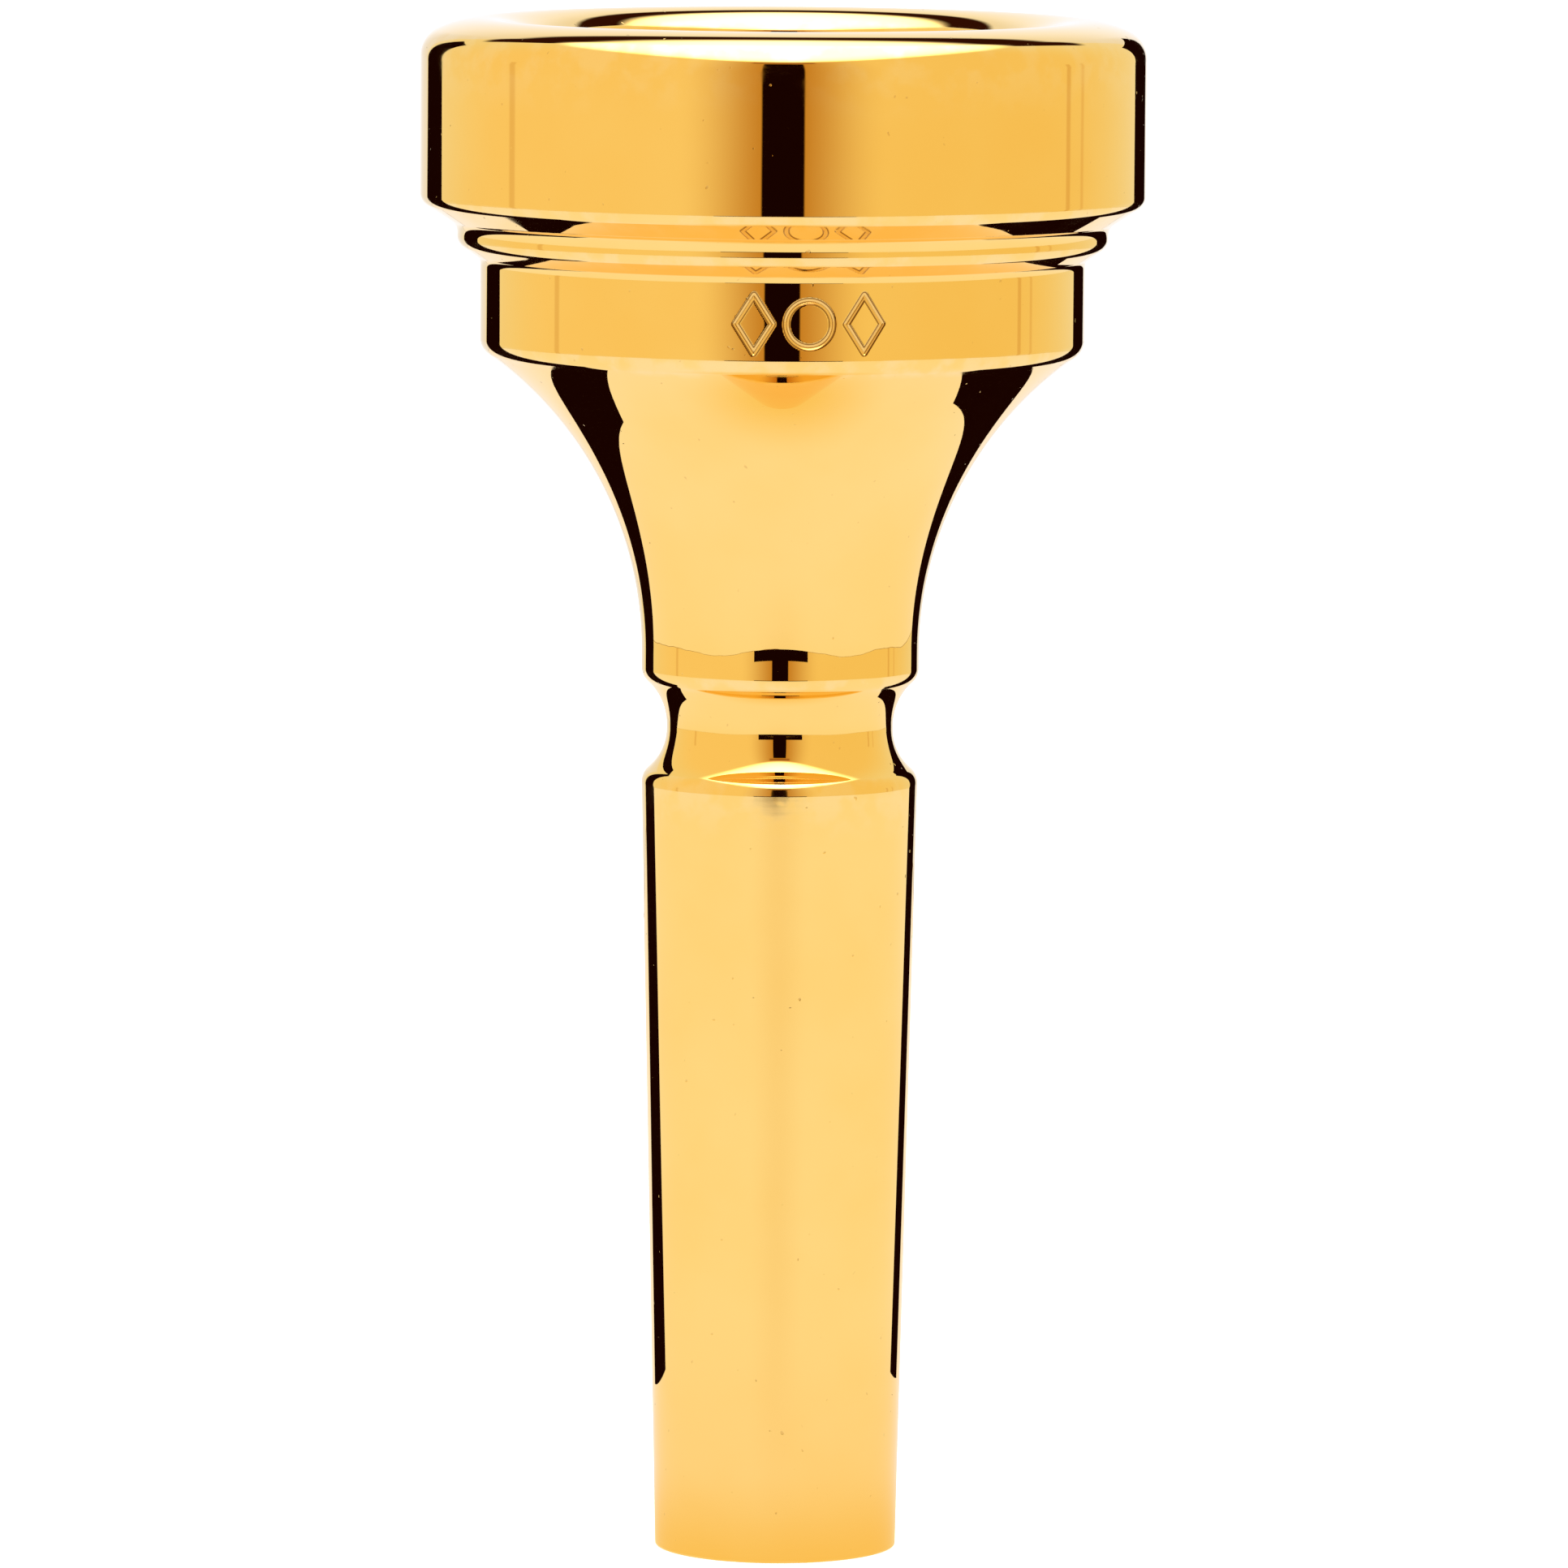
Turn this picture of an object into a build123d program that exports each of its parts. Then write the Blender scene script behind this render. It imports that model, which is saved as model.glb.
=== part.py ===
from build123d import *
import os
from math import sqrt

# A one-piece mouthpiece for a large-shank tenor trombone, turned from one brass bar.
# Origin: centre of the shank's end face. +Z runs along the axis towards the rim.
# Millimetres. Heights are measured up from the shank's end face.

# Shank: a straight taper that wedges in the instrument's receiver.
shank_tip_radius = 6.35
shank_top_radius = 7.28
shank_top_rounding = 1.00
shank_edge_break = 0.12

# Neck: the hourglass groove above the shank.
neck_radius = 5.96
waist_bottom = 43.40
waist_top = 43.58
lower_cove_radius = 2.74
upper_cove_radius = 3.19

# Lower body and the flare that opens it up to the band.
body_radius = 7.30
body_bottom_rounding = 0.95
flare_start = 47.45
flare_radius = 19.15

# Band, bead and rim: three cylinders joined by short cones, with every corner rounded.
band_radius = 15.85
band_bottom_rounding = 1.00
band_top = 68.06
band_top_blend = 0.50
bead_radius = 17.06
bead_bottom = 68.92
bead_bottom_rounding = 0.70
bead_top = 69.84
bead_top_blend = 0.75
rim_radius = 19.00
rim_bottom = 71.12
rim_bottom_rounding = 0.70
rim_shoulder_rounding = 1.55

# Crown of the rim, which meets the player's lips.
overall_height = 80.65
crest_radius = 15.60
crown_outer_radius = 5.80
crown_inner_radius = 4.50

# Inside: cup, throat and backbore.
cup_radius = 12.70
cup_bite_rounding = 0.80
bowl_start = 78.00
bowl_radius = 22.00
throat_radius = 3.50
throat_shoulder_rounding = 6.00
throat_bottom = 51.00
backbore_tip_radius = 5.30
backbore_edge_break = 0.08


def drop_along_arc(radius, run):
    """How far an arc that starts level has dropped after a horizontal run."""
    return radius - sqrt(radius**2 - run**2)


def rise_along_arc(radius, run):
    """How far an arc that starts upright has climbed once it has moved out by run."""
    return sqrt(radius**2 - (radius - run) ** 2)


def outer_corners():
    """Corners of the outside before rounding, from the shank's end to the rim's crest."""
    lower_cove_rise = rise_along_arc(lower_cove_radius, shank_top_radius - neck_radius)
    upper_cove_rise = rise_along_arc(upper_cove_radius, body_radius - neck_radius)
    flare_rise = rise_along_arc(flare_radius, band_radius - body_radius)
    crown_drop = drop_along_arc(crown_outer_radius, rim_radius - crest_radius)
    return {
        "tip": (shank_tip_radius, 0),
        "shank_top": (shank_top_radius, waist_bottom - lower_cove_rise),
        "waist_bottom": (neck_radius, waist_bottom),
        "waist_top": (neck_radius, waist_top),
        "body_bottom": (body_radius, waist_top + upper_cove_rise),
        "flare_start": (body_radius, flare_start),
        "band_bottom": (band_radius, flare_start + flare_rise),
        "band_top": (band_radius, band_top),
        "bead_bottom": (bead_radius, bead_bottom),
        "bead_top": (bead_radius, bead_top),
        "rim_bottom": (rim_radius, rim_bottom),
        "rim_shoulder": (rim_radius, overall_height - crown_drop),
        "crest": (crest_radius, overall_height),
    }


def inner_corners():
    """Corners of the inside before rounding, from the cup's bite to the shank's end."""
    crown_drop = drop_along_arc(crown_inner_radius, crest_radius - cup_radius)
    bowl_depth = rise_along_arc(bowl_radius, cup_radius - throat_radius)
    return {
        "bite": (cup_radius, overall_height - crown_drop),
        "bowl_start": (cup_radius, bowl_start),
        "throat_top": (throat_radius, bowl_start - bowl_depth),
        "throat_bottom": (throat_radius, throat_bottom),
        "backbore_tip": (backbore_tip_radius, 0),
    }


def outer_edges(at):
    """Outside of the half section, from the tip to the crest."""
    return [
        Line(at["tip"], at["shank_top"]),
        RadiusArc(at["shank_top"], at["waist_bottom"], lower_cove_radius),
        Line(at["waist_bottom"], at["waist_top"]),
        RadiusArc(at["waist_top"], at["body_bottom"], upper_cove_radius),
        Line(at["body_bottom"], at["flare_start"]),
        RadiusArc(at["flare_start"], at["band_bottom"], flare_radius),
        Line(at["band_bottom"], at["band_top"]),
        Line(at["band_top"], at["bead_bottom"]),
        Line(at["bead_bottom"], at["bead_top"]),
        Line(at["bead_top"], at["rim_bottom"]),
        Line(at["rim_bottom"], at["rim_shoulder"]),
        RadiusArc(at["rim_shoulder"], at["crest"], -crown_outer_radius),
    ]


def inner_edges(at, crest):
    """Inside of the half section, from the crest to the backbore's mouth."""
    return [
        RadiusArc(crest, at["bite"], -crown_inner_radius),
        Line(at["bite"], at["bowl_start"]),
        RadiusArc(at["bowl_start"], at["throat_top"], bowl_radius),
        Line(at["throat_top"], at["throat_bottom"]),
        Line(at["throat_bottom"], at["backbore_tip"]),
    ]


def half_section():
    """The turned outline, with its corners rounded."""
    outer = outer_corners()
    inner = inner_corners()
    end_face = Line(inner["backbore_tip"], outer["tip"])
    section = make_face(outer_edges(outer) + inner_edges(inner, outer["crest"]) + [end_face])
    roundings = [
        (outer["shank_top"], shank_top_rounding),
        (outer["body_bottom"], body_bottom_rounding),
        (outer["band_bottom"], band_bottom_rounding),
        (outer["band_top"], band_top_blend),
        (outer["bead_bottom"], bead_bottom_rounding),
        (outer["bead_top"], bead_top_blend),
        (outer["rim_bottom"], rim_bottom_rounding),
        (outer["rim_shoulder"], rim_shoulder_rounding),
        (inner["bite"], cup_bite_rounding),
        (inner["throat_top"], throat_shoulder_rounding),
        (outer["tip"], shank_edge_break),
        (inner["backbore_tip"], backbore_edge_break),
    ]
    for corner, radius in roundings:
        nearest = section.vertices().sort_by_distance(Vector(*corner))[0]
        section = fillet(nearest, radius)
    return section


def mouthpiece_body():
    """Rim, cup, throat, backbore and shank: one turned piece."""
    return revolve(Plane.XZ * half_section(), Axis.Z)


os.makedirs("parts", exist_ok=True)
export_step(mouthpiece_body(), "parts/mouthpiece_body.step")
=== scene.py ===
from math import atan2, ceil, copysign, cos, hypot, pi, radians, sin, sqrt

import bpy
import numpy as np
from mathutils import Matrix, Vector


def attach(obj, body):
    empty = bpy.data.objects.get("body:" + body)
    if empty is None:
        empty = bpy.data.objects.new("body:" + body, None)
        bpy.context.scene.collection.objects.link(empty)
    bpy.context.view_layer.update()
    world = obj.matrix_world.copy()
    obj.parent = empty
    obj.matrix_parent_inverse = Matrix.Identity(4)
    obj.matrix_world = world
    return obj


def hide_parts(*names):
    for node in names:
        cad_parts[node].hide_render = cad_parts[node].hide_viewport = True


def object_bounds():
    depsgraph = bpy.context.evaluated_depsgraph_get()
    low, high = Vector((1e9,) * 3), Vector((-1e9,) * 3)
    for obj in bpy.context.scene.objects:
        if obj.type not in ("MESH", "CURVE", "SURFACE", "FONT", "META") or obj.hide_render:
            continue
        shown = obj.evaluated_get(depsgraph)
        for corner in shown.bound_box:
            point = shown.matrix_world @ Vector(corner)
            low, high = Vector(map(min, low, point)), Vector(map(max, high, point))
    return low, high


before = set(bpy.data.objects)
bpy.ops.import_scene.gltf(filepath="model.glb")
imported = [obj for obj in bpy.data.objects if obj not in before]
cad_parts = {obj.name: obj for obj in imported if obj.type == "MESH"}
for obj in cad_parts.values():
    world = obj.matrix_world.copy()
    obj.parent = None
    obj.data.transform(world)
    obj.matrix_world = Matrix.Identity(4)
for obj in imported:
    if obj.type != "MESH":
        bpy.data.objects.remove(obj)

# The finished look of a gold-plated mouthpiece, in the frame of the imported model.
# The turned outline is in millimetres, and MM turns it into metres. Everything else is in metres.
# Azimuths go round the part from the camera's side (-Y) towards +X.

cad_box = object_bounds()
PART_HEIGHT = 80.65
MM = (cad_box[1][2] - cad_box[0][2]) / PART_HEIGHT

# Shank, neck and flare.
SHANK_TIP_RADIUS = 6.35
SHANK_TOP_RADIUS = 7.28
NECK_RADIUS = 5.96
WAIST_BOTTOM = 43.40
WAIST_TOP = 43.58
LOWER_COVE_RADIUS = 2.74
UPPER_COVE_RADIUS = 3.19
BODY_RADIUS = 7.30
FLARE_START = 47.45
FLARE_RADIUS = 19.15

# Band, bead and rim.
BAND_RADIUS = 15.85
BAND_TOP = 68.06
BEAD_RADIUS = 17.06
BEAD_BOTTOM = 68.92
BEAD_TOP = 69.84
RIM_RADIUS = 19.00
RIM_BOTTOM = 71.12

# Crown, cup, throat and backbore.
CREST_RADIUS = 15.60
CROWN_OUTER_RADIUS = 5.80
CROWN_INNER_RADIUS = 4.50
CUP_RADIUS = 12.70
BOWL_START = 78.00
BOWL_RADIUS = 22.00
THROAT_RADIUS = 3.50
THROAT_BOTTOM = 51.00
BACKBORE_TIP_RADIUS = 5.30

# Radius of the stretch that starts at each corner: positive is convex, and no entry is straight.
BENDS = {
    "shank_top": -LOWER_COVE_RADIUS,
    "waist_top": -UPPER_COVE_RADIUS,
    "flare_start": -FLARE_RADIUS,
    "rim_shoulder": CROWN_OUTER_RADIUS,
    "crest": CROWN_INNER_RADIUS,
    "bowl_start": -BOWL_RADIUS,
}

# Rounding of each corner that isn't smooth already.
ROUNDINGS = {
    "tip": 0.12,
    "shank_top": 1.00,
    "body_bottom": 0.95,
    "band_bottom": 1.00,
    "band_top": 0.50,
    "bead_bottom": 0.70,
    "bead_top": 0.75,
    "rim_bottom": 0.70,
    "rim_shoulder": 1.55,
    "bite": 0.80,
    "throat_top": 6.00,
    "backbore_tip": 0.08,
}

# Engraved ornament on the band: a ring between two lozenges.
ORNAMENT_OFFSET = 1.40
ORNAMENT_HEIGHT = 65.75
ORNAMENT_HALF_WIDTH = 4.20
ORNAMENT_HALF_HEIGHT = 1.80
LOZENGE_CENTRE = 2.85
LOZENGE_HALF_WIDTH = 0.95
LOZENGE_HALF_HEIGHT = 1.48
RING_RADIUS = 1.18
STROKE_HALF_WIDTH = 0.21
STROKE_DEPTH = 0.09

# How finely the surface is divided: degrees along arcs, millimetres elsewhere.
ARC_STEP = 5.0
FLARE_STEP = 1.6
STRAIGHT_STEP = 2.6
ORNAMENT_STEP = 0.060
PLAIN_COLUMNS = 124

# Convex bends tighter than this count as edges, where the plating wears first.
SHARPEST_PLAIN_BEND = 2.0

# Passes that settle a rounding between two arcs.
ROUNDING_PASSES = 12

# Camera: its turns are in degrees, and its lens is in millimetres.
CAMERA_PLACE = (0.00024, -0.6151, 0.1071)
CAMERA_PITCH = 6.185
CAMERA_ROLL = 0.35
CAMERA_LENS = 270.0

# Near studio, as the metal mirrors it: a white sheet with a dark edge, and black cards by their corners.
# The sheet's sides lie 1 / SHEET_NARROWNESS times as far out as its front. Each wave of its edge is given
# by how often it comes round and its height as a share of the reach.
SHEET_REACH = 0.270
SHEET_EDGE = 0.003
SHEET_SEGMENTS = 180
SHEET_NARROWNESS = 0.8
SHEET_WAVES = [(7, 0.012), (16, 0.008), (37, 0.004)]
LEFT_CARD = [(-0.050, 0.028, 0), (-0.028, 0.045, 0), (-0.118, 0.160, 0.175), (-0.151, 0.145, 0.175)]
RIGHT_CARD = [(0.045, 0.035, 0), (0.031, 0.046, 0), (0.057, 0.164, 0.128), (0.098, 0.128, 0.128)]
FRONT_STRIP = [(-0.105, -0.270, 0), (0.112, -0.270, 0), (0.112, -0.270, 0.016), (-0.105, -0.270, 0.016)]
SHEET_WHITE = (1.05, 1.03, 1.12, 1)
# Painted contact shadow: the sheet's darker, warmer colour round the foot of the part.
SHEET_PAINTED_SHADOW_AT_FOOT = (1.0, 0.82, 0.44, 1)
SHEET_EDGE_BROWN = (0.30, 0.16, 0.08, 1)
# Painted reflection that the glossy sheet shows at a low angle: the darker walls ahead, the paler walls
# aside, and the gold part near its foot.
PAINTED_REFLECTION_AHEAD = (0.90, 0.74, 0.38, 1)
PAINTED_REFLECTION_ASIDE = (1.0, 0.95, 0.78, 1)
PAINTED_REFLECTION_AT_FOOT = (0.97, 0.70, 0.34, 1)

# Far studio: tent walls, a ceiling light, and the panels painted over the walls.
WALL_LEFT = (0.985, 0.83, 0.53, 1)
WALL_RIGHT = (0.95, 0.78, 0.43, 1)
WALL_AHEAD = (0.55, 0.26, 0.03, 1)
WALL_BEHIND = (0.93, 0.87, 0.66, 1)
CEILING_LIGHT_ASPECT = (0.62, 1.12)
LIGHT_MIDDLE = (4.6, 4.5, 4.4, 1)
LIGHT_RIM = (3.0, 2.9, 2.7, 1)
BLACK = (0.009, 0.0012, 0.0002, 1)

# Each panel in degrees: whether it is on both sides alike, azimuth from and to, elevation from and to,
# the softness of its sides, and its colour.
PANELS = [
    (False, -96.5, -94.0, -90, 9, 1.2, (0.86, 0.66, 0.38, 1)),
    (False, 101.0, 103.0, -90, 9, 1.0, (0.82, 0.60, 0.30, 1)),
    (False, 108.5, 110.0, -90, 9, 1.0, (0.86, 0.66, 0.36, 1)),
    (True, 155.0, 200.0, -90, 34, 2.0, (0.90, 0.91, 0.97, 1)),
    (True, 168.0, 200.0, -90, 34, 12.0, (1.02, 1.05, 1.15, 1)),
    (True, 146.0, 200.0, 32.5, 47, 1.5, (0.03, 0.006, 0.001, 1)),
    (True, -1.0, 11.0, 35.5, 39.5, 2.0, (0.35, 0.15, 0.05, 1)),
    (True, -1.0, 6.7, -12, 34.0, 0.8, BLACK),
]

# The floor that the camera sees, and the backdrop that it curves up into.
SWEEP_FLAT = 0.3
SWEEP_RADIUS = 1.8
SWEEP_BEND = 1.0
SWEEP_HEIGHT = 3.0
SWEEP_BEND_STEPS = 12
SWEEP_COLUMNS = 96

# Gold surfaces: sizes, widths, heights and depths are in metres.
BUFFING_WIDTH = 0.00018
BUFFING_HEIGHT = 0.00000002
WAVE_SIZE = 0.0045
WAVE_HEIGHT = 0.0000014
BLOTCH_SIZE = 0.009
SPECK_SIZE = 0.00042
SPECK_DEPTH = 0.000004
WEAR_SIZE = 0.0016
REAMER_WIDTH = 0.00035
REAMER_HEIGHT = 0.0000018
LINE_STRETCH = (0.02, 0.02, 1.0)
GOLD_ROUGHNESS = (0.012, 0.030)
REAMED_ROUGHNESS = (0.18, 0.34)
GOLD = (0.98, 0.675, 0.212, 1)
DEEP_GOLD = (0.975, 0.65, 0.185, 1)
PALE_GOLD = (0.98, 0.73, 0.34, 1)
GROOVE_GOLD = (0.85, 0.52, 0.15, 1)
GROOVE_EDGE = (0.22, 0.08, 0.01, 1)
TARNISH = (0.62, 0.36, 0.11, 1)


# ---------------------------------------------------------------- turned outline


class Span:
    """One straight run or arc of the outline, with the metal on its left."""

    def __init__(self, start, end, bend=None, step=None):
        self.start = np.array(start, dtype=float)
        self.end = np.array(end, dtype=float)
        self.bend = bend
        self.step = step
        chord = self.end - self.start
        length = hypot(*chord)
        self.left = np.array([-chord[1], chord[0]]) / length
        if bend:
            reach = sqrt(bend**2 - (length / 2) ** 2)
            self.centre = (self.start + self.end) / 2 + copysign(reach, bend) * self.left

    def offset(self, point):
        """How far a point lies to the left, and the direction in which that distance grows."""
        if self.bend is None:
            return self.left @ (point - self.start), self.left
        inward = self.centre - point
        gap = hypot(*inward)
        sign = copysign(1, self.bend)
        return sign * (abs(self.bend) - gap), sign * inward / gap

    def foot(self, point):
        """The nearest point of the span."""
        distance, grows = self.offset(point)
        return point - distance * grows

    def points(self):
        """Points along the span, without its end."""
        if self.bend is None:
            run = self.end - self.start
            count = ceil(hypot(*run) / (self.step or STRAIGHT_STEP))
            return [self.start + run * i / count for i in range(count)]
        first, last = self.start - self.centre, self.end - self.centre
        sweep = atan2(first[0] * last[1] - first[1] * last[0], first @ last)
        count = ceil(abs(sweep) / radians(self.step or ARC_STEP))
        angles = [atan2(first[1], first[0]) + sweep * i / count for i in range(count)]
        return [self.centre + abs(self.bend) * np.array([cos(a), sin(a)]) for a in angles]


def round_corner(before, after, radius):
    """Trims two spans back from their corner, and returns the arc that joins them."""
    corner = before.end
    left_before = before.offset(corner)[1]
    left_after = after.offset(corner)[1]
    turn = left_before[0] * left_after[1] - left_before[1] * left_after[0]
    side = copysign(radius, turn)
    centre = corner + side * (left_before + left_after) / (1 + left_before @ left_after)
    for _ in range(ROUNDING_PASSES):
        gap_before, grows_before = before.offset(centre)
        gap_after, grows_after = after.offset(centre)
        miss = [side - gap_before, side - gap_after]
        centre = centre + np.linalg.solve([grows_before, grows_after], miss)
    before.end = before.foot(centre)
    after.start = after.foot(centre)
    return Span(before.end, after.start, side)


def drop_along_arc(radius, run):
    """How far an arc that starts level has dropped after a horizontal run."""
    return radius - sqrt(radius**2 - run**2)


def rise_along_arc(radius, run):
    """How far an arc that starts upright has climbed once it has moved out by run."""
    return sqrt(radius**2 - (radius - run) ** 2)


def corners():
    """Corners of the half section before rounding, up the outside and down the inside."""
    lower_cove_rise = rise_along_arc(LOWER_COVE_RADIUS, SHANK_TOP_RADIUS - NECK_RADIUS)
    upper_cove_rise = rise_along_arc(UPPER_COVE_RADIUS, BODY_RADIUS - NECK_RADIUS)
    flare_rise = rise_along_arc(FLARE_RADIUS, BAND_RADIUS - BODY_RADIUS)
    outer_drop = drop_along_arc(CROWN_OUTER_RADIUS, RIM_RADIUS - CREST_RADIUS)
    inner_drop = drop_along_arc(CROWN_INNER_RADIUS, CREST_RADIUS - CUP_RADIUS)
    bowl_depth = rise_along_arc(BOWL_RADIUS, CUP_RADIUS - THROAT_RADIUS)
    return {
        "tip": (SHANK_TIP_RADIUS, 0),
        "shank_top": (SHANK_TOP_RADIUS, WAIST_BOTTOM - lower_cove_rise),
        "waist_bottom": (NECK_RADIUS, WAIST_BOTTOM),
        "waist_top": (NECK_RADIUS, WAIST_TOP),
        "body_bottom": (BODY_RADIUS, WAIST_TOP + upper_cove_rise),
        "flare_start": (BODY_RADIUS, FLARE_START),
        "band_bottom": (BAND_RADIUS, FLARE_START + flare_rise),
        "ornament_bottom": (BAND_RADIUS, ORNAMENT_HEIGHT - ORNAMENT_HALF_HEIGHT),
        "ornament_top": (BAND_RADIUS, ORNAMENT_HEIGHT + ORNAMENT_HALF_HEIGHT),
        "band_top": (BAND_RADIUS, BAND_TOP),
        "bead_bottom": (BEAD_RADIUS, BEAD_BOTTOM),
        "bead_top": (BEAD_RADIUS, BEAD_TOP),
        "rim_bottom": (RIM_RADIUS, RIM_BOTTOM),
        "rim_shoulder": (RIM_RADIUS, PART_HEIGHT - outer_drop),
        "crest": (CREST_RADIUS, PART_HEIGHT),
        "bite": (CUP_RADIUS, PART_HEIGHT - inner_drop),
        "bowl_start": (CUP_RADIUS, BOWL_START),
        "throat_top": (THROAT_RADIUS, BOWL_START - bowl_depth),
        "throat_bottom": (THROAT_RADIUS, THROAT_BOTTOM),
        "backbore_tip": (BACKBORE_TIP_RADIUS, 0),
    }


def outline():
    """The closed half section as (name, span) pairs, each named after the corner it starts at."""
    at = corners()
    names = list(at)
    steps = {"flare_start": FLARE_STEP, "ornament_bottom": ORNAMENT_STEP}
    spans = {}
    for name, following in zip(names, names[1:] + names[:1]):
        spans[name] = Span(at[name], at[following], BENDS.get(name), steps.get(name))
    way_round = []
    for name, previous in zip(names, names[-1:] + names[:-1]):
        if name in ROUNDINGS:
            way_round.append((name, round_corner(spans[previous], spans[name], ROUNDINGS[name])))
        way_round.append((name, spans[name]))
    return way_round


# ---------------------------------------------------------------- ornament


def distance_to_path(x, y, path):
    """Distance from each point to a closed path of straight strokes."""
    nearest = np.full(x.shape, np.inf)
    for (ax, ay), (bx, by) in zip(path, path[1:] + path[:1]):
        run_x, run_y = bx - ax, by - ay
        along = ((x - ax) * run_x + (y - ay) * run_y) / (run_x**2 + run_y**2)
        along = np.clip(along, 0, 1)
        nearest = np.minimum(nearest, np.hypot(x - ax - along * run_x, y - ay - along * run_y))
    return nearest


def engraved_depth(x, y):
    """Depth of the ornament's strokes at x along the band and y up it, from its middle."""
    width, height = LOZENGE_HALF_WIDTH, LOZENGE_HALF_HEIGHT
    lozenge = [(-width, 0), (0, -height), (width, 0), (0, height)]
    nearest = np.abs(np.hypot(x, y) - RING_RADIUS)
    for middle in (-LOZENGE_CENTRE, LOZENGE_CENTRE):
        nearest = np.minimum(nearest, distance_to_path(x - middle, y, lozenge))
    across = np.clip(nearest / STROKE_HALF_WIDTH, 0, 1)
    return STROKE_DEPTH * (0.5 + 0.5 * np.cos(pi * across))


# ---------------------------------------------------------------- meshes


def column_angles():
    """Azimuths of the mesh's columns, in radians: close together across the ornament."""
    middle = ORNAMENT_OFFSET / BAND_RADIUS
    half = ORNAMENT_HALF_WIDTH / BAND_RADIUS
    fine_count = ceil(2 * half * BAND_RADIUS / ORNAMENT_STEP)
    fine = np.linspace(middle - half, middle + half, fine_count, endpoint=False)
    plain = np.linspace(middle + half, middle - half + 2 * pi, PLAIN_COLUMNS, endpoint=False)
    return np.concatenate([fine, plain])


def band_relief(radius, height, azimuth):
    """Engraved depth at each point of the surface, and its slopes along and up the band."""
    x = BAND_RADIUS * azimuth - ORNAMENT_OFFSET + 0 * height
    y = height - ORNAMENT_HEIGHT + 0 * azimuth
    on_band = np.abs(radius - BAND_RADIUS) < 1e-6
    near = on_band & (np.abs(x) < ORNAMENT_HALF_WIDTH) & (np.abs(y) < ORNAMENT_HALF_HEIGHT)
    reach = ORNAMENT_STEP / 2
    depth = np.where(near, engraved_depth(x, y), 0)
    slope_x = (engraved_depth(x + reach, y) - engraved_depth(x - reach, y)) / (2 * reach)
    slope_y = (engraved_depth(x, y + reach) - engraved_depth(x, y - reach)) / (2 * reach)
    return depth, np.where(near, slope_x, 0), np.where(near, slope_y, 0)


def grid_faces(rings, columns):
    """Quads of a surface that closes on itself both ways."""
    ring, column = np.meshgrid(np.arange(rings), np.arange(columns), indexing="ij")
    next_ring, next_column = (ring + 1) % rings, (column + 1) % columns
    quads = [
        ring * columns + column,
        ring * columns + next_column,
        next_ring * columns + next_column,
        next_ring * columns + column,
    ]
    return np.stack(quads, axis=-1).reshape(-1, 4)


def add_attribute(mesh, name, values):
    """Stores one number for each point of a mesh."""
    attribute = mesh.attributes.new(name, "FLOAT", "POINT")
    attribute.data.foreach_set("value", values.astype(np.float32).ravel())


def sampled_outline():
    """Points along the outline, their outward directions, and whether each is bored, and is an edge."""
    places, outward, bored, worn = [], [], [], []
    for name, span in outline():
        for point in span.points():
            places.append(point)
            outward.append(-span.offset(point)[1])
            bored.append(name in ("throat_top", "throat_bottom"))
            worn.append(span.bend is not None and 0 < span.bend < SHARPEST_PLAIN_BEND)
    return np.array(places), np.array(outward), np.array(bored), np.array(worn)


def turned_surface(places, outward):
    """Points and normals of the surface of revolution, and the engraved depth at each point."""
    radius, height = places.T[:, :, None]
    out, up = outward.T[:, :, None]
    azimuth = column_angles()[None, :]
    depth, slope_x, slope_y = band_relief(radius, height, azimuth)
    sine, cosine = np.sin(azimuth), np.cos(azimuth)
    reach = radius - depth
    points = np.stack([reach * sine, -reach * cosine, height + 0 * reach], axis=-1)
    across, along = out * sine + slope_x * cosine, slope_x * sine - out * cosine
    normals = np.stack([across, along, up + slope_y], axis=-1)
    return points, normals / np.linalg.norm(normals, axis=-1, keepdims=True), depth


def turned_mesh(name):
    """The whole body of revolution as one closed mesh, with the ornament cut into the band."""
    places, outward, bored, worn = sampled_outline()
    points, normals, depth = turned_surface(places, outward)
    rings, columns = depth.shape
    faces = grid_faces(rings, columns)
    mesh = bpy.data.meshes.new(name)
    mesh.from_pydata((points * MM).reshape(-1, 3).tolist(), [], faces.tolist())
    mesh.polygons.foreach_set("use_smooth", np.ones(len(faces), dtype=bool))
    mesh.polygons.foreach_set("material_index", np.repeat(bored.astype(np.int32), columns))
    add_attribute(mesh, "groove", depth / STROKE_DEPTH)
    add_attribute(mesh, "edge", np.repeat(worn.astype(float), columns))
    mesh.normals_split_custom_set_from_vertices(normals.reshape(-1, 3).tolist())
    return mesh


def add_object(name, mesh):
    """Puts a mesh in the scene at the origin."""
    thing = bpy.data.objects.new(name, mesh)
    bpy.context.scene.collection.objects.link(thing)
    return thing


def add_stage(name, points, faces, materials, seen_by_camera):
    """A piece of studio that either only the camera sees or only the metal mirrors."""
    mesh = bpy.data.meshes.new(name)
    mesh.from_pydata(points, [], faces)
    for material in materials:
        mesh.materials.append(material)
    thing = add_object(name, mesh)
    thing.visible_camera = seen_by_camera
    thing.visible_glossy = not seen_by_camera
    thing.visible_diffuse = False
    thing.visible_shadow = False
    return thing


# ---------------------------------------------------------------- shader nodes


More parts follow.
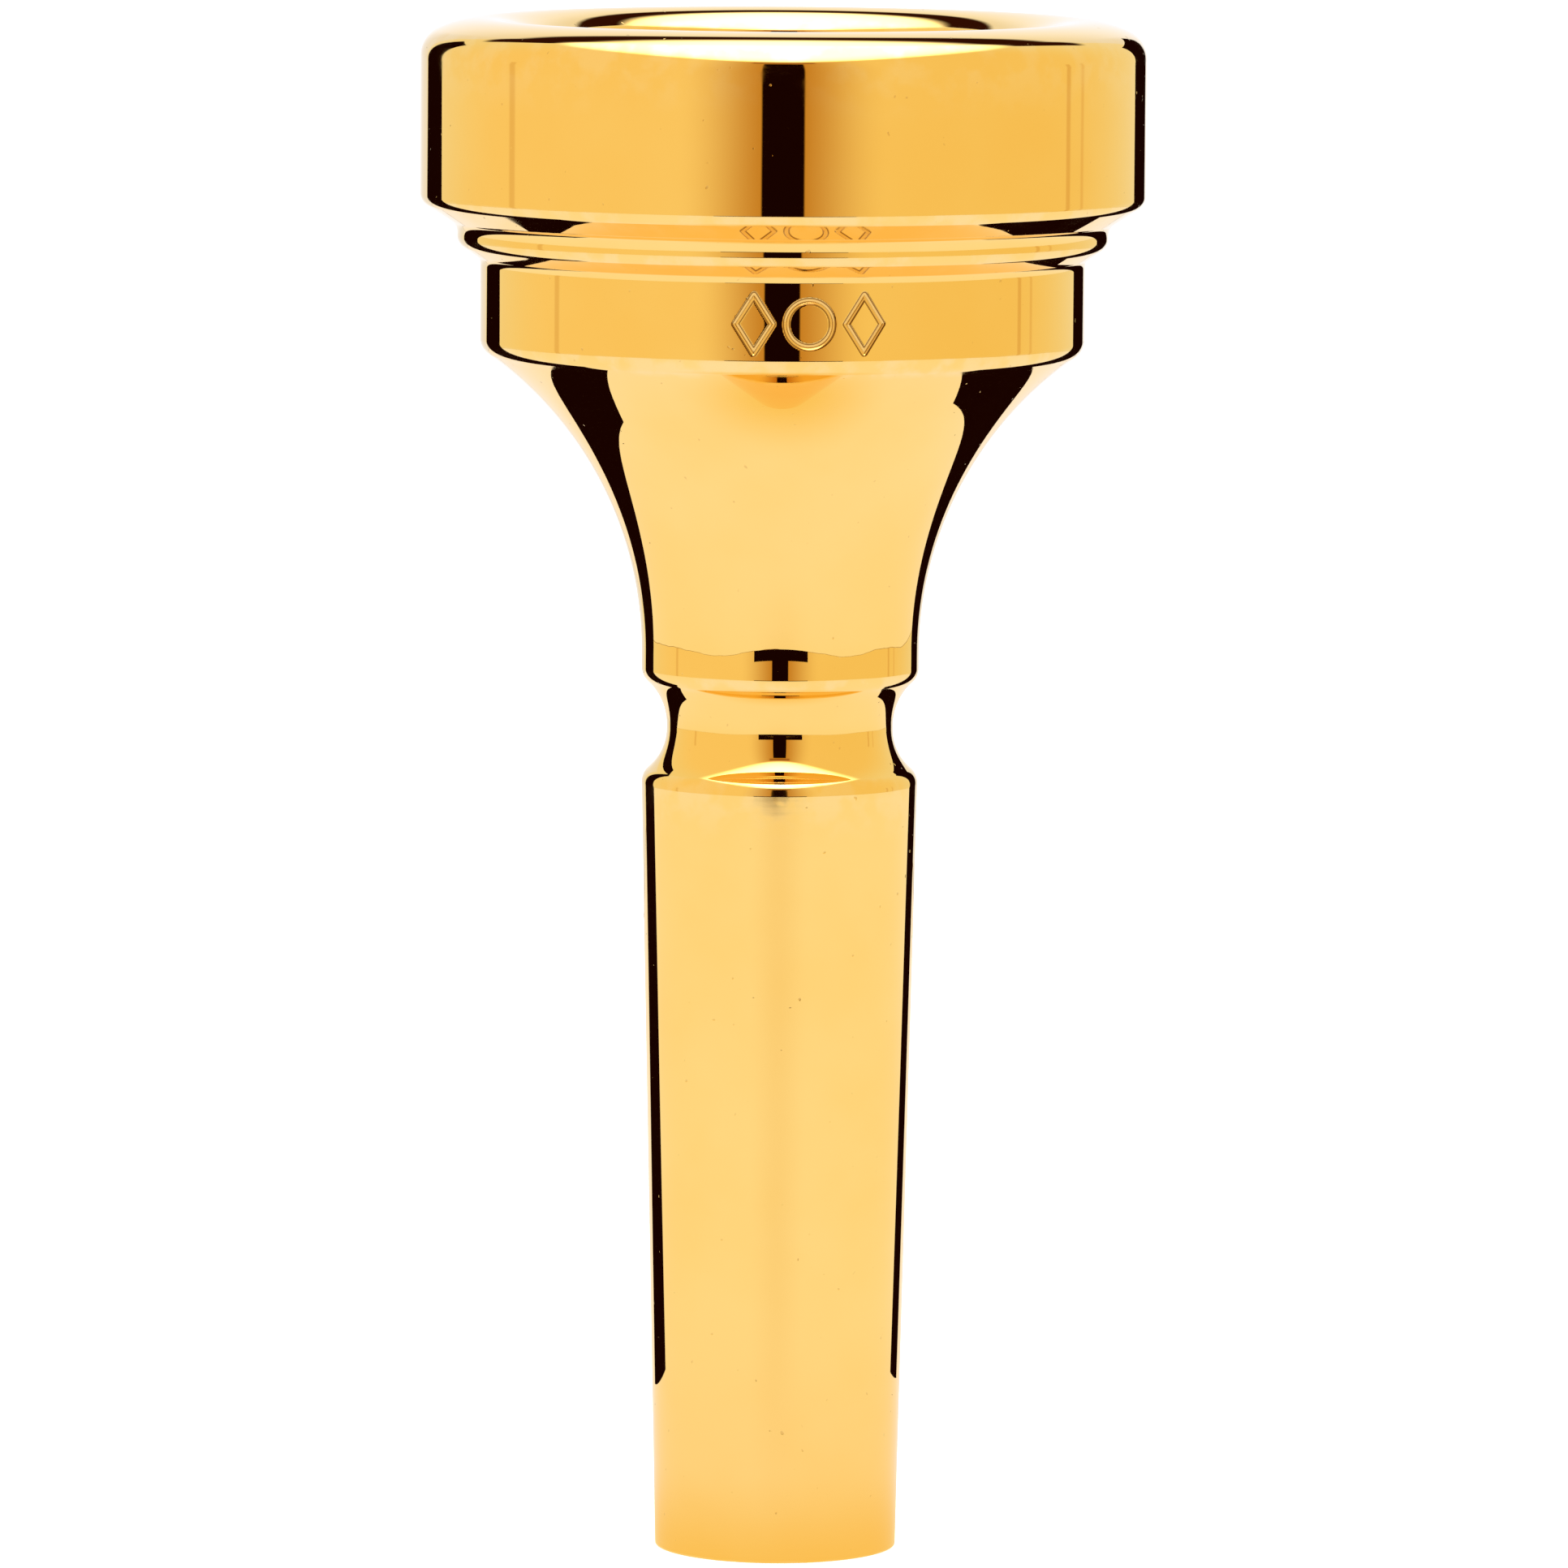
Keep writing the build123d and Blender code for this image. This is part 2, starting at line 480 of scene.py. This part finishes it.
class Nodes:
    """A short way to add shader nodes and link them."""

    def __init__(self, owner):
        owner.use_nodes = True
        self.tree = owner.node_tree
        self.tree.nodes.clear()

    def add(self, kind, inputs=None, **settings):
        """Adds a node, sets it up, and links or sets its inputs."""
        node = self.tree.nodes.new("ShaderNode" + kind)
        for name, value in settings.items():
            setattr(node, name, value)
        for socket, value in (inputs or {}).items():
            if isinstance(value, bpy.types.NodeSocket):
                self.tree.links.new(value, node.inputs[socket])
            else:
                node.inputs[socket].default_value = value
        return node

    def math(self, operation, first, second=0.0):
        """The result of one sum."""
        return self.add("Math", {0: first, 1: second}, operation=operation).outputs[0]

    def ramp(self, value, low, high, at_low=0.0, at_high=1.0):
        """A smooth step from one value to another."""
        inputs = {"Value": value, "From Min": low, "From Max": high, "To Min": at_low, "To Max": at_high}
        return self.add("MapRange", inputs, interpolation_type="SMOOTHSTEP").outputs["Result"]

    def between(self, value, low, high, soft):
        """One inside a range and nothing outside it, with soft ends."""
        rises = self.ramp(value, low - soft / 2, low + soft / 2)
        falls = self.ramp(value, high - soft / 2, high + soft / 2, 1.0, 0.0)
        return self.math("MULTIPLY", rises, falls)

    def mix(self, factor, first, second):
        """Blends two colours."""
        node = self.add("Mix", data_type="RGBA")
        for socket, value in (("Factor_Float", factor), ("A_Color", first), ("B_Color", second)):
            target = next(s for s in node.inputs if s.identifier == socket)
            if isinstance(value, bpy.types.NodeSocket):
                self.tree.links.new(value, target)
            else:
                target.default_value = value
        return next(s for s in node.outputs if s.identifier == "Result_Color")


# ---------------------------------------------------------------- gold


def surface_places(nodes):
    """The point on the part, its distance from the axis, and the same point squeezed sideways."""
    place = nodes.add("TexCoord").outputs["Object"]
    x, y, _ = nodes.add("SeparateXYZ", {0: place}).outputs
    flat = nodes.add("CombineXYZ", {0: x, 1: y}).outputs[0]
    radius = nodes.add("VectorMath", {0: flat}, operation="LENGTH").outputs["Value"]
    squeezed = nodes.add("VectorMath", {0: place, 1: LINE_STRETCH}, operation="MULTIPLY").outputs[0]
    return place, radius, squeezed


def turned_lines(nodes, squeezed, radius, width):
    """Noise drawn out into lines round the axis, each about as wide as given, in metres."""
    inputs = {"Vector": squeezed, "W": radius, "Scale": 1 / width, "Detail": 2.0}
    return nodes.add("TexNoise", inputs, noise_dimensions="4D").outputs["Fac"]


def cloud(nodes, place, size, detail=1.0):
    """Soft noise with blotches of about the given size, in metres."""
    return nodes.add("TexNoise", {"Vector": place, "Scale": 1 / size, "Detail": detail}).outputs["Fac"]


def add_heights(nodes, layers):
    """Bump from a sum of noises, each with its height in metres."""
    total = 0.0
    for noise, height in layers:
        total = nodes.math("ADD", total, nodes.math("MULTIPLY", noise, height))
    return nodes.add("Bump", {"Height": total, "Distance": 1.0, "Strength": 1.0}).outputs["Normal"]


def polished_gold():
    """Mirror-bright gold plate over turned brass, with faint buffing lines, specks and worn edges."""
    material = bpy.data.materials.new("polished_gold_plate")
    nodes = Nodes(material)
    place, radius, squeezed = surface_places(nodes)
    groove = nodes.add("Attribute", attribute_name="groove").outputs["Fac"]
    edge = nodes.add("Attribute", attribute_name="edge").outputs["Fac"]
    lines = turned_lines(nodes, squeezed, radius, BUFFING_WIDTH)
    blotches = cloud(nodes, place, BLOTCH_SIZE, 3.0)
    waves = cloud(nodes, place, WAVE_SIZE)
    specks = nodes.ramp(cloud(nodes, place, SPECK_SIZE), 0.76, 0.82)
    wear = nodes.math("MULTIPLY", edge, nodes.ramp(cloud(nodes, place, WEAR_SIZE, 4.0), 0.40, 0.62))
    cut = nodes.ramp(groove, 0.10, 0.60)
    rim_of_cut = nodes.between(groove, 0.06, 0.42, 0.10)

    colour = nodes.mix(nodes.ramp(blotches, 0.35, 0.70), GOLD, DEEP_GOLD)
    colour = nodes.mix(nodes.math("MULTIPLY", wear, 0.5), colour, PALE_GOLD)
    colour = nodes.mix(nodes.math("MULTIPLY", specks, 0.4), colour, TARNISH)
    colour = nodes.mix(nodes.math("MULTIPLY", cut, 0.75), colour, GROOVE_GOLD)
    colour = nodes.mix(nodes.math("MULTIPLY", rim_of_cut, 0.85), colour, GROOVE_EDGE)

    roughness = nodes.ramp(lines, 0.42, 0.78, *GOLD_ROUGHNESS)
    roughness = nodes.math("ADD", roughness, nodes.math("MULTIPLY", wear, 0.05))
    roughness = nodes.math("ADD", roughness, nodes.math("MULTIPLY", specks, 0.20))
    roughness = nodes.math("ADD", roughness, nodes.math("MULTIPLY", cut, 0.22))

    normal = add_heights(nodes, [(waves, WAVE_HEIGHT), (lines, BUFFING_HEIGHT), (specks, -SPECK_DEPTH)])
    inputs = {"Base Color": colour, "Metallic": 1.0, "Roughness": roughness, "Normal": normal}
    shader = nodes.add("BsdfPrincipled", inputs)
    nodes.add("OutputMaterial", {"Surface": shader.outputs[0]})
    return material


def bored_brass():
    """The throat and backbore: plated too, but left with the reamer's rings."""
    material = bpy.data.materials.new("bored_gold_plate")
    nodes = Nodes(material)
    place, radius, squeezed = surface_places(nodes)
    rings = turned_lines(nodes, squeezed, radius, REAMER_WIDTH)
    blotches = cloud(nodes, place, BLOTCH_SIZE, 3.0)
    colour = nodes.mix(nodes.ramp(blotches, 0.35, 0.70), DEEP_GOLD, TARNISH)
    roughness = nodes.ramp(rings, 0.30, 0.75, *REAMED_ROUGHNESS)
    normal = add_heights(nodes, [(rings, REAMER_HEIGHT)])
    inputs = {"Base Color": colour, "Metallic": 1.0, "Roughness": roughness, "Normal": normal}
    shader = nodes.add("BsdfPrincipled", inputs)
    nodes.add("OutputMaterial", {"Surface": shader.outputs[0]})
    return material


# ---------------------------------------------------------------- studio


def glow(name, colour):
    """A material that only shines."""
    material = bpy.data.materials.new(name)
    nodes = Nodes(material)
    shader = nodes.add("Emission", {"Color": colour})
    nodes.add("OutputMaterial", {"Surface": shader.outputs[0]})
    return material


def sheet_glow():
    """The glossy white sheet as the metal mirrors it, glowing: a painted contact shadow round the foot,
    and at a low angle a painted reflection of the warm walls and of the gold near the foot.
    """
    material = bpy.data.materials.new("mirrored_sheet")
    nodes = Nodes(material)
    place = nodes.add("TexCoord").outputs["Object"]
    x, _, _ = nodes.add("SeparateXYZ", {0: place}).outputs
    distance = nodes.add("VectorMath", {0: place}, operation="LENGTH").outputs["Value"]
    # Painted contact shadow: the sheet turns darker and warmer within 30 mm of the foot.
    paper = nodes.mix(nodes.ramp(distance, 0.002, 0.030), SHEET_PAINTED_SHADOW_AT_FOOT, SHEET_WHITE)
    aside = nodes.math("DIVIDE", nodes.math("ABSOLUTE", x), distance)
    # Painted reflection of the walls, and of the gold near the foot, mixed in at a low angle.
    gloss = nodes.mix(nodes.ramp(aside, 0.0, 0.45), PAINTED_REFLECTION_AHEAD, PAINTED_REFLECTION_ASIDE)
    gloss = nodes.mix(nodes.ramp(distance, 0.0, 0.09), PAINTED_REFLECTION_AT_FOOT, gloss)
    grazing = nodes.add("Fresnel", {"IOR": 1.38}).outputs[0]
    shader = nodes.add("Emission", {"Color": nodes.mix(grazing, paper, gloss)})
    nodes.add("OutputMaterial", {"Surface": shader.outputs[0]})
    return material


def add_mirrored_sheet():
    """The white sheet under the part, with rounded corners and a thin dark wavy edge."""
    points = [(0, 0, 0)]
    for extra in (0, SHEET_EDGE):
        for i in range(SHEET_SEGMENTS):
            azimuth = 2 * pi * i / SHEET_SEGMENTS
            squareness = (cos(azimuth) ** 4 + (SHEET_NARROWNESS * sin(azimuth)) ** 4) ** -0.25
            wave = 1 + sum(height * sin(count * azimuth) for count, height in SHEET_WAVES)
            reach = SHEET_REACH * squareness * wave + extra
            points.append((reach * sin(azimuth), -reach * cos(azimuth), 0))
    white, edge = [], []
    for i in range(SHEET_SEGMENTS):
        here, after = 1 + i, 1 + (i + 1) % SHEET_SEGMENTS
        white.append((0, here, after))
        edge.append((here, SHEET_SEGMENTS + here, SHEET_SEGMENTS + after, after))
    materials = [sheet_glow(), glow("sheet_edge", SHEET_EDGE_BROWN)]
    sheet = add_stage("mirrored_sheet", points, white + edge, materials, False)
    sheet.data.polygons.foreach_set("material_index", [0] * len(white) + [1] * len(edge))


def add_card(name, corner_places):
    """A black card with four corners."""
    add_stage(name, corner_places, [(0, 1, 2, 3)], [glow(name, BLACK)], False)


def sweep_outline():
    """Half section of the floor and its backdrop, from the middle outwards."""
    places = [(0.0, 0.0), (SWEEP_FLAT, 0.0), (SWEEP_RADIUS, 0.0)]
    for i in range(1, SWEEP_BEND_STEPS + 1):
        turn = pi / 2 * i / SWEEP_BEND_STEPS
        places.append((SWEEP_RADIUS + SWEEP_BEND * sin(turn), SWEEP_BEND * (1 - cos(turn))))
    return places + [(SWEEP_RADIUS + SWEEP_BEND, SWEEP_HEIGHT)]


def add_sweep():
    """The plain pale floor, which curves up into a backdrop all round."""
    material = bpy.data.materials.new("pale_paper")
    nodes = Nodes(material)
    inputs = {"Base Color": (0.9, 0.9, 0.9, 1), "Roughness": 1.0, "Specular IOR Level": 0.0}
    inputs |= {"Emission Color": (1, 1, 1, 1), "Emission Strength": 0.45}
    shader = nodes.add("BsdfPrincipled", inputs)
    nodes.add("OutputMaterial", {"Surface": shader.outputs[0]})
    points, faces = [], []
    for i, (radius, height) in enumerate(sweep_outline()):
        for j in range(SWEEP_COLUMNS):
            azimuth = 2 * pi * j / SWEEP_COLUMNS
            points.append((radius * sin(azimuth), -radius * cos(azimuth), height))
            if i:
                low, high = (i - 1) * SWEEP_COLUMNS, i * SWEEP_COLUMNS
                after = (j + 1) % SWEEP_COLUMNS
                faces.append((low + j, low + after, high + after, high + j))
    sweep = add_stage("floor_sweep", points, faces, [material], True)
    sweep.data.polygons.foreach_set("use_smooth", [True] * len(faces))


def painted_walls(nodes, azimuth, turn):
    """Colour of the tent walls: darker straight ahead of the part, and paler behind it."""
    walls = nodes.mix(nodes.ramp(azimuth, -70.0, 90.0), WALL_LEFT, WALL_RIGHT)
    walls = nodes.mix(nodes.ramp(turn, 0.0, 34.0), WALL_AHEAD, walls)
    return nodes.mix(nodes.ramp(turn, 95.0, 150.0), walls, WALL_BEHIND)


def painted_light(nodes, direction, colour):
    """The oval ceiling light over a colour, brighter in its middle."""
    x, y, z = direction
    side, front = CEILING_LIGHT_ASPECT
    across = nodes.math("DIVIDE", x, side)
    along = nodes.math("DIVIDE", y, front)
    flat = nodes.add("CombineXYZ", {0: across, 1: along}).outputs[0]
    spread = nodes.add("VectorMath", {0: flat}, operation="LENGTH").outputs["Value"]
    spread = nodes.math("DIVIDE", spread, nodes.math("MAXIMUM", z, 0.001))
    light = nodes.mix(nodes.ramp(spread, 0.45, 0.95), LIGHT_MIDDLE, LIGHT_RIM)
    return nodes.mix(nodes.ramp(spread, 0.82, 1.10, 1.0, 0.0), colour, light)


def paint_studio():
    """The far studio: warm tent walls, painted panels and a ceiling light."""
    world = bpy.data.worlds.new("studio")
    bpy.context.scene.world = world
    nodes = Nodes(world)
    direction = nodes.add("SeparateXYZ", {0: nodes.add("TexCoord").outputs["Generated"]}).outputs
    x, y, z = direction
    azimuth = nodes.math("DEGREES", nodes.math("ARCTAN2", x, nodes.math("MULTIPLY", y, -1.0)))
    turn = nodes.math("ABSOLUTE", azimuth)
    elevation = nodes.math("DEGREES", nodes.math("ARCSINE", z))
    colour = painted_walls(nodes, azimuth, turn)
    for both_sides, left, right, low, high, soft, paint in PANELS:
        across = nodes.between(turn if both_sides else azimuth, left, right, soft)
        upward = nodes.between(elevation, low, high, 2 * soft)
        colour = nodes.mix(nodes.math("MULTIPLY", across, upward), colour, paint)
    colour = painted_light(nodes, direction, colour)
    background = nodes.add("Background", {"Color": colour, "Strength": 1.0})
    nodes.add("OutputWorld", {"Surface": background.outputs[0]})


def add_camera():
    """The camera that takes the main picture."""
    camera = bpy.data.objects.new("camera", bpy.data.cameras.new("camera"))
    camera.data.lens = CAMERA_LENS
    camera.data.clip_start = 0.01
    pitched = Matrix.Rotation(radians(90 - CAMERA_PITCH), 4, "X")
    rolled = Matrix.Rotation(radians(CAMERA_ROLL), 4, "Z")
    camera.matrix_world = Matrix.Translation(CAMERA_PLACE) @ pitched @ rolled
    bpy.context.scene.collection.objects.link(camera)
    bpy.context.scene.camera = camera


body = add_object("mouthpiece", turned_mesh("mouthpiece"))
body.data.materials.append(polished_gold())
body.data.materials.append(bored_brass())
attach(body, "root")
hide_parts("mouthpiece_body")

add_sweep()
add_mirrored_sheet()
add_card("left_card", LEFT_CARD)
add_card("right_card", RIGHT_CARD)
add_card("front_strip", FRONT_STRIP)
paint_studio()
add_camera()
bpy.context.scene.view_settings.view_transform = "Standard"
